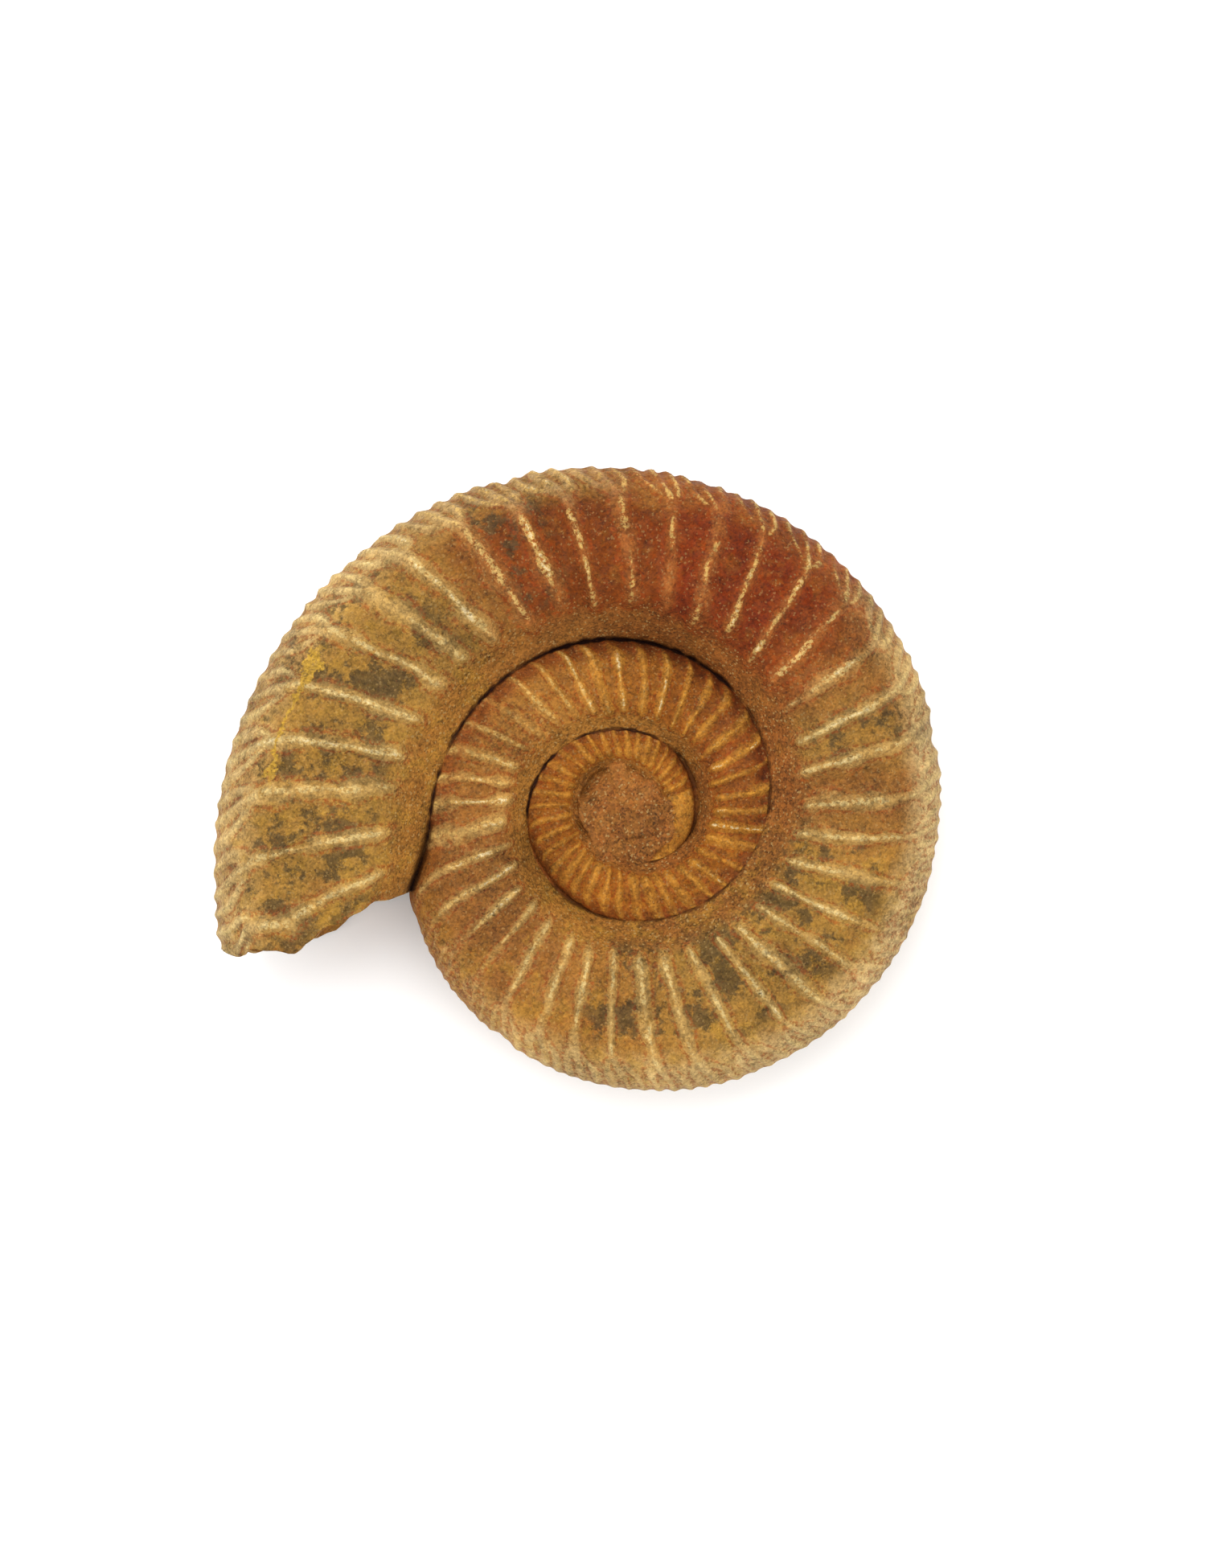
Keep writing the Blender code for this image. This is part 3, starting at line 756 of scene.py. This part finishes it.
class Graph:
    """Short calls for a material's nodes. Places on the stone are in metres."""

    def __init__(self, name):
        self.material = bpy.data.materials.new(name)
        self.material.use_nodes = True
        self.tree = self.material.node_tree
        self.shader = self.tree.nodes["Principled BSDF"]
        self.place = self.tree.nodes.new("ShaderNodeTexCoord").outputs["Object"]

    def put(self, socket, value):
        if isinstance(value, bpy.types.NodeSocket):
            self.tree.links.new(value, socket)
        else:
            socket.default_value = value

    def field(self, name):
        node = self.tree.nodes.new("ShaderNodeAttribute")
        node.attribute_name = name
        return node.outputs["Fac"]

    def math(self, operation, first, second=0.0):
        node = self.tree.nodes.new("ShaderNodeMath")
        node.operation = operation
        self.put(node.inputs[0], first)
        self.put(node.inputs[1], second)
        return node.outputs[0]

    def step(self, value, low, high, bottom=0.0, top=1.0):
        """Smooth change from bottom to top as value goes from low to high."""
        node = self.tree.nodes.new("ShaderNodeMapRange")
        node.interpolation_type = "SMOOTHSTEP"
        self.put(node.inputs["Value"], value)
        node.inputs["From Min"].default_value = low
        node.inputs["From Max"].default_value = high
        node.inputs["To Min"].default_value = bottom
        node.inputs["To Max"].default_value = top
        return node.outputs["Result"]

    def window(self, value, low, high, soft):
        """1 between low and high, falling to 0 over soft on both sides."""
        rise = self.step(value, low - soft, low + soft)
        fall = self.step(value, high - soft, high + soft, 1.0, 0.0)
        return self.math("MULTIPLY", rise, fall)

    def windows(self, value, parts):
        """1 in any of several windows."""
        shown = self.window(value, *parts[0])
        for part in parts[1:]:
            shown = self.math("MAXIMUM", shown, self.window(value, *part))
        return shown

    def noise(self, size_mm, detail=3.0, roughness=0.55, offset=0.0):
        node = self.tree.nodes.new("ShaderNodeTexNoise")
        shifted = self.place
        if offset:
            move = self.tree.nodes.new("ShaderNodeVectorMath")
            move.operation = "ADD"
            self.put(move.inputs[0], self.place)
            move.inputs[1].default_value = (offset, offset, offset)
            shifted = move.outputs["Vector"]
        self.put(node.inputs["Vector"], shifted)
        node.inputs["Scale"].default_value = 1.0 / (size_mm * MM)
        node.inputs["Detail"].default_value = detail
        node.inputs["Roughness"].default_value = roughness
        return node.outputs["Fac"]

    def cells(self, size_mm, output):
        node = self.tree.nodes.new("ShaderNodeTexVoronoi")
        self.put(node.inputs["Vector"], self.place)
        node.inputs["Scale"].default_value = 1.0 / (size_mm * MM)
        return node.outputs[output]

    def mix(self, share, first, second, blend="MIX"):
        node = self.tree.nodes.new("ShaderNodeMix")
        node.data_type = "RGBA"
        node.blend_type = blend
        self.put(node.inputs["Factor"], share)
        self.put(node.inputs[6], first)
        self.put(node.inputs[7], second)
        return node.outputs[2]

    def along(self, value, low, high, stops):
        """Colours placed along a value that runs from low to high."""
        position = self.tree.nodes.new("ShaderNodeMapRange")
        self.put(position.inputs["Value"], value)
        position.inputs["From Min"].default_value = low
        position.inputs["From Max"].default_value = high
        node = self.tree.nodes.new("ShaderNodeValToRGB")
        self.put(node.inputs["Fac"], position.outputs["Result"])
        ramp = node.color_ramp
        while len(ramp.elements) > 1:
            ramp.elements.remove(ramp.elements[-1])
        for number, (at, value) in enumerate(stops):
            share = (at - low) / (high - low)
            element = ramp.elements[0] if number == 0 else ramp.elements.new(share)
            element.position = share
            element.color = value
        return node.outputs["Color"]


HONEY = colour(154, 92, 36)
OCHRE = colour(168, 116, 51)
RUSSET = colour(140, 78, 38)
RUST = colour(122, 52, 22)
MAROON = colour(104, 52, 30)
BAY = colour(153, 100, 50)
OLIVE = colour(164, 122, 59)
SAND = colour(170, 116, 54)
DRAB = colour(190, 152, 92)
DUST = colour(214, 182, 124)
PALE_SAND = colour(204, 168, 106)
CREAM = colour(216, 186, 122)
BUTTER = colour(210, 168, 96)
GOLD = colour(198, 138, 56)
AMBER = colour(194, 132, 54)
FAWN = colour(198, 158, 92)
FLESH = colour(164, 98, 50)
SLATE = colour(86, 70, 46)
UMBER = colour(82, 48, 26)
BLACK_BROWN = colour(48, 30, 17)
IVORY = colour(238, 216, 168)
LIMONITE = colour(200, 156, 62)
STRAW = colour(176, 134, 54)
LOAM = colour(150, 92, 46)
COCOA = colour(124, 64, 31)
RED = colour(146, 62, 26)

COIL_DEG = (-480.0, 565.0)
GROOVES = (
    (-480.0, HONEY),
    (-20.0, HONEY),
    (35.0, RUSSET),
    (75.0, HONEY),
    (130.0, SAND),
    (190.0, BAY),
    (235.0, BAY),
    (262.0, SAND),
    (290.0, OLIVE),
    (340.0, OLIVE),
    (364.0, BAY),
    (378.0, OLIVE),
    (392.0, BAY),
    (400.0, RUSSET),
    (410.0, RUST),
    (440.0, RUST),
    (448.0, COCOA),
    (478.0, COCOA),
    (496.0, OLIVE),
    (561.0, OLIVE),
)
FLANKS = (
    (-480.0, AMBER),
    (100.0, AMBER),
    (200.0, FAWN),
    (385.0, FAWN),
    (402.0, FLESH),
    (478.0, FLESH),
    (495.0, FAWN),
    (561.0, FAWN),
)
CRESTS = (
    (-480.0, GOLD),
    (60.0, GOLD),
    (130.0, BUTTER),
    (200.0, BUTTER),
    (250.0, CREAM),
    (380.0, CREAM),
    (415.0, BUTTER),
    (475.0, BUTTER),
    (500.0, CREAM),
    (561.0, CREAM),
)
WALLS = (
    (-480.0, SAND),
    (20.0, LOAM),
    (80.0, SAND),
    (240.0, SAND),
    (290.0, BAY),
    (340.0, BAY),
    (360.0, LOAM),
    (440.0, LOAM),
    (475.0, BAY),
    (520.0, SAND),
    (561.0, SAND),
)
SHOULDERS = (
    (-480.0, RUSSET),
    (-30.0, RUSSET),
    (10.0, MAROON),
    (90.0, MAROON),
    (130.0, RUSSET),
    (190.0, RUSSET),
    (212.0, OCHRE),
    (255.0, DRAB),
    (330.0, DUST),
    (370.0, DUST),
    (390.0, DRAB),
    (402.0, FLESH),
    (415.0, RUSSET),
    (435.0, RUSSET),
    (460.0, OLIVE),
    (480.0, OLIVE),
    (500.0, DRAB),
    (561.0, DRAB),
)


def grain_of(graph):
    """Fine grain that breaks up lines."""
    return graph.noise(0.36, 5.0, 0.7, 0.1)


def stone_colour(graph, degrees, share):
    """Colour of the shell's side from its place on the coil."""
    drift = graph.math("MULTIPLY", graph.math("SUBTRACT", graph.noise(3.0, 4.0), 0.5), 20.0)
    blurred = graph.math("ADD", degrees, drift)
    groove = graph.along(blurred, *COIL_DEG, GROOVES)
    flank = graph.along(blurred, *COIL_DEG, FLANKS)
    crest = graph.along(degrees, *COIL_DEG, CRESTS)
    wall = graph.along(degrees, *COIL_DEG, WALLS)
    shoulder = graph.along(blurred, *COIL_DEG, SHOULDERS)

    wavy_share = graph.math("ADD", share, graph.math("MULTIPLY", graph.noise(1.4, 4.0), 0.14))
    base = graph.mix(graph.step(wavy_share, 0.31, 0.18), groove, wall)
    wave = graph.math("MULTIPLY", graph.noise(1.4, 4.0), 0.14)
    outwards = graph.math("ADD", graph.field("across"), wave)
    base = graph.mix(graph.step(outwards, 0.80, 0.98, 0.0, 0.95), base, shoulder)

    # Broad mottling in ochre, brown and russet
    mottle = graph.noise(2.6, 6.0, 0.66)
    base = graph.mix(graph.step(mottle, 0.52, 0.64, 0.0, 0.22), base, OCHRE)
    base = graph.mix(graph.step(mottle, 0.48, 0.36, 0.0, 0.26), base, RUSSET)
    golden = graph.step(graph.noise(2.0, 6.0, 0.7, 0.15), 0.46, 0.62, 0.0, 0.40)
    olive_part = graph.windows(degrees, GOLDEN_DEG)
    base = graph.mix(graph.math("MULTIPLY", golden, olive_part), base, STRAW)

    # Olive-grey stains in some grooves
    stained = graph.windows(degrees, STAINED_DEG)
    stained = graph.math("MULTIPLY", stained, graph.window(share, 0.24, 0.95, 0.07))
    lower = graph.window(degrees, *LOWER_STAINED_DEG)
    lower = graph.math("MULTIPLY", lower, graph.window(share, 0.14, 0.74, 0.07))
    stained = graph.math("MAXIMUM", stained, lower)
    stains = graph.step(graph.noise(3.4, 8.0, 0.70, 0.3), 0.49, 0.55)
    stains = graph.math("MULTIPLY", stains, stained)
    base = graph.mix(graph.math("MULTIPLY", stains, 0.80), base, SLATE)

    # Warm flanks on the ribs, with pale crests broken up by grain
    rib = graph.field("flank")
    patchy = graph.step(graph.noise(0.8, 5.0, 0.65, 0.2), 0.36, 0.56, 0.35, 0.95)
    chalky = graph.windows(degrees, CHALKY_DEG)
    chalky = graph.math("MULTIPLY", chalky, graph.step(outwards, 0.78, 0.96, 0.0, 0.75))
    flank = graph.mix(chalky, flank, DUST)
    base = graph.mix(graph.math("MULTIPLY", rib, patchy), base, flank)
    speckled = graph.step(grain_of(graph), 0.44, 0.56)
    # A red-brown border beside each rib: partly the stone's red colour, partly painted shade where the
    # groove meets the rib
    red_border_and_shade = graph.math("MULTIPLY", graph.window(rib, 0.12, 0.42, 0.08), speckled)
    base = graph.mix(graph.math("MULTIPLY", red_border_and_shade, 0.55), base, RED)
    grain = grain_of(graph)
    line = graph.math("MULTIPLY", graph.field("line"), graph.step(grain, 0.38, 0.58, 0.2, 1.35))
    base = graph.mix(graph.step(line, 0.24, 0.72, 0.0, 0.90), base, crest)
    base = graph.mix(graph.step(line, 0.95, 1.4, 0.0, 0.7), base, IVORY)

    # Yellow iron stain in a crooked line near the rim, and reddish stains
    crooked = graph.math("MULTIPLY", graph.math("SUBTRACT", graph.noise(2.0, 4.0, 0.6, 0.8), 0.5), 0.22)
    from_line = graph.math("ABSOLUTE", graph.math("SUBTRACT", graph.math("ADD", share, crooked), 0.79))
    widest = graph.window(degrees, 514.5, 519.5, 1.5)
    half_breadth = graph.math("ADD", graph.math("MULTIPLY", widest, 0.022), 0.012)
    yellow = graph.step(graph.math("SUBTRACT", from_line, half_breadth), 0.004, -0.004)
    yellow = graph.math("MULTIPLY", yellow, graph.window(degrees, *YELLOW_DEG))
    yellow = graph.math("MULTIPLY", yellow, graph.step(graph.field("side"), -0.5, 0.5))
    yellow = graph.math("MULTIPLY", yellow, graph.step(grain, 0.34, 0.46, 0.3, 0.9))
    base = graph.mix(yellow, base, LIMONITE)
    reddish = graph.step(graph.noise(0.9, 6.0, 0.75, 0.45), 0.60, 0.70, 0.0, 0.6)
    return graph.mix(reddish, base, RED)


def sandy_grain(graph, base, sandy):
    """Light and dark at every scale, the tone of every grain, and a few bright and red grains."""
    tone = graph.tree.nodes.new("ShaderNodeSeparateColor")
    graph.put(tone.inputs[0], graph.cells(0.15, "Color"))
    shade = graph.math("SUBTRACT", tone.outputs[0], 0.5)
    amount = graph.math("ADD", graph.math("MULTIPLY", sandy, 0.25), 0.55)
    value = graph.math("ADD", graph.math("MULTIPLY", shade, amount), 1.0)
    for size, strength, offset in ((0.4, 1.2, 0.7), (1.3, 0.9, 0.75), (7.0, 1.2, 0.85)):
        layer = graph.math("SUBTRACT", graph.noise(size, 3.0, 0.6, offset), 0.5)
        value = graph.math("ADD", value, graph.math("MULTIPLY", layer, strength))
    grey = graph.tree.nodes.new("ShaderNodeCombineColor")
    for channel in range(3):
        graph.put(grey.inputs[channel], value)
    base = graph.mix(1.0, base, grey.outputs[0], "MULTIPLY")
    often = graph.math("ADD", graph.math("MULTIPLY", sandy, 0.4), 0.35)
    sparkle = graph.math("MULTIPLY", graph.step(tone.outputs[1], 0.93, 0.96), often)
    base = graph.mix(graph.math("MULTIPLY", sparkle, 0.7), base, PALE_SAND)
    dark = graph.math("MULTIPLY", graph.step(tone.outputs[1], 0.04, 0.02), often)
    base = graph.mix(graph.math("MULTIPLY", dark, 0.6), base, UMBER)
    speck = graph.math("MULTIPLY", graph.step(tone.outputs[2], 0.965, 0.98), often)
    return graph.mix(graph.math("MULTIPLY", speck, 0.3), base, RED)


def stone_material():
    """Weathered brown stone with cream ribs, sandy matrix and grey stains."""
    graph = Graph("fossil_stone")
    degrees = graph.math("MULTIPLY", graph.field("turn"), 360.0)
    share = graph.field("share")
    base = stone_colour(graph, degrees, share)

    # Sandy matrix in the middle
    matrix = graph.step(graph.field("matrix"), 0.25, 0.75)
    sand = graph.mix(graph.step(graph.noise(1.0, 6.0, 0.65), 0.36, 0.60), LOAM, BAY)
    base = graph.mix(matrix, base, sand)

    # The broken face: a thin pale wall of shell around a brown fill
    inside = graph.field("inside")
    fill = graph.mix(graph.step(graph.noise(3.2, 6.0, 0.6, 0.5), 0.36, 0.64), BAY, OCHRE)
    fill = graph.mix(graph.step(graph.noise(1.1, 5.0, 0.6, 0.65), 0.54, 0.68, 0.0, 0.6), fill, FAWN)
    fill = graph.mix(graph.step(inside, 0.30, 0.50, 0.7, 0.0), fill, PALE_SAND)
    base = graph.mix(graph.step(inside, -0.2, 0.10), base, fill)

    loose_sand = graph.math("MAXIMUM", matrix, graph.step(share, 0.28, 0.12))
    base = sandy_grain(graph, base, loose_sand)

    # Dark colour along the cracked seam, brown at its edges and near black in its middle: the cracks' own
    # colour and painted shade in the seam
    crack_and_shade = graph.field("crack_and_shade")
    base = graph.mix(graph.step(crack_and_shade, 0.02, 0.30, 0.0, 0.75), base, UMBER)
    base = graph.mix(graph.step(crack_and_shade, 0.30, 0.80, 0.0, 0.92), base, BLACK_BROWN)
    graph.put(graph.shader.inputs["Base Color"], base)

    rough = graph.step(graph.noise(0.6, 3.0, 0.6, 0.9), 0.35, 0.65, 0.62, 0.86)
    graph.put(graph.shader.inputs["Roughness"], rough)
    graph.shader.inputs["Specular IOR Level"].default_value = SPECULAR

    grit = graph.cells(GRIT_SIZE, "Distance")
    relief = graph.math("ADD", graph.math("MULTIPLY", grit, -0.6), graph.noise(GRIT_SIZE, 5.0, 0.7))
    bump = graph.tree.nodes.new("ShaderNodeBump")
    bump.inputs["Strength"].default_value = BUMP_STRENGTH
    bump.inputs["Distance"].default_value = BUMP_DISTANCE * MM
    graph.put(bump.inputs["Height"], relief)
    graph.put(graph.shader.inputs["Normal"], bump.outputs["Normal"])
    return graph.material


# Stage ------------------------------------------------------------------------------------------

PICTURE_WIDTH, PICTURE_HEIGHT = 1500, 1950
FLOOR_HALF = 1.2
SHELL_FILL = 0.6047  # share of the picture's width that the shell takes
LENS = 100.0
SENSOR = 36.0
AIM_OFFSET = (2.0 * MM, -0.4 * MM)  # the shell lies a little left of and above the middle


def make_floor():
    """A plain pale floor."""
    data = bpy.data.meshes.new("floor")
    corners = [(FLOOR_HALF * x, FLOOR_HALF * y, 0.0) for x, y in ((-1, -1), (1, -1), (1, 1), (-1, 1))]
    data.from_pydata(corners, [], [(0, 1, 2, 3)])
    material = bpy.data.materials.new("floor_white")
    material.use_nodes = True
    shader = material.node_tree.nodes["Principled BSDF"]
    shader.inputs["Base Color"].default_value = (0.96, 0.96, 0.96, 1.0)
    shader.inputs["Roughness"].default_value = 0.9
    shader.inputs["Specular IOR Level"].default_value = 0.1
    data.materials.append(material)
    floor = bpy.data.objects.new("floor", data)
    bpy.context.scene.collection.objects.link(floor)
    floor.location.z = CAD_BOX[0].z


def aim(obj, target):
    """Turn a light or camera to look at a point, with +Y up in its picture when it looks down."""
    obj.rotation_euler = (Vector(target) - obj.location).to_track_quat("-Z", "Y").to_euler()


def make_light(name, place, size, power):
    """One soft, square area light aimed at the shell."""
    data = bpy.data.lights.new(name, "AREA")
    data.shape = "SQUARE"
    data.size = size
    data.energy = power
    light = bpy.data.objects.new(name, data)
    light.location = place
    bpy.context.scene.collection.objects.link(light)
    aim(light, (0.0, 0.0, 0.0))


def make_lights():
    """A light tent: a key from the picture's top left, softer lights around, and a bright sky."""
    make_light("key", (-0.08, 0.24, 0.42), 0.40, 1.5)
    make_light("fill", (0.30, -0.22, 0.36), 0.35, 0.5)
    make_light("left", (-0.42, -0.02, 0.22), 0.30, 0.4)
    world = bpy.data.worlds.new("tent")
    world.use_nodes = True
    background = world.node_tree.nodes["Background"]
    background.inputs["Color"].default_value = (1.0, 1.0, 1.0, 1.0)
    background.inputs["Strength"].default_value = 1.12
    bpy.context.scene.world = world


def make_camera():
    """Straight down, with the shell as large as in a close product picture."""
    low, high = CAD_BOX
    frame_height = (high.x - low.x) / SHELL_FILL * PICTURE_HEIGHT / PICTURE_WIDTH
    distance = LENS / SENSOR * frame_height
    data = bpy.data.cameras.new("camera")
    data.lens = LENS
    data.sensor_width = SENSOR
    data.clip_start = 0.01
    camera = bpy.data.objects.new("camera", data)
    middle = (low + high) / 2.0
    camera.location = (middle.x + AIM_OFFSET[0], middle.y + AIM_OFFSET[1], middle.z + distance)
    bpy.context.scene.collection.objects.link(camera)
    bpy.context.scene.camera = camera
    bpy.context.scene.view_settings.view_transform = "Standard"


make_camera()
make_floor()
make_lights()
stone = make_ammonite()
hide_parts("ammonite")
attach(stone, "root")

bpy.context.view_layer.update()
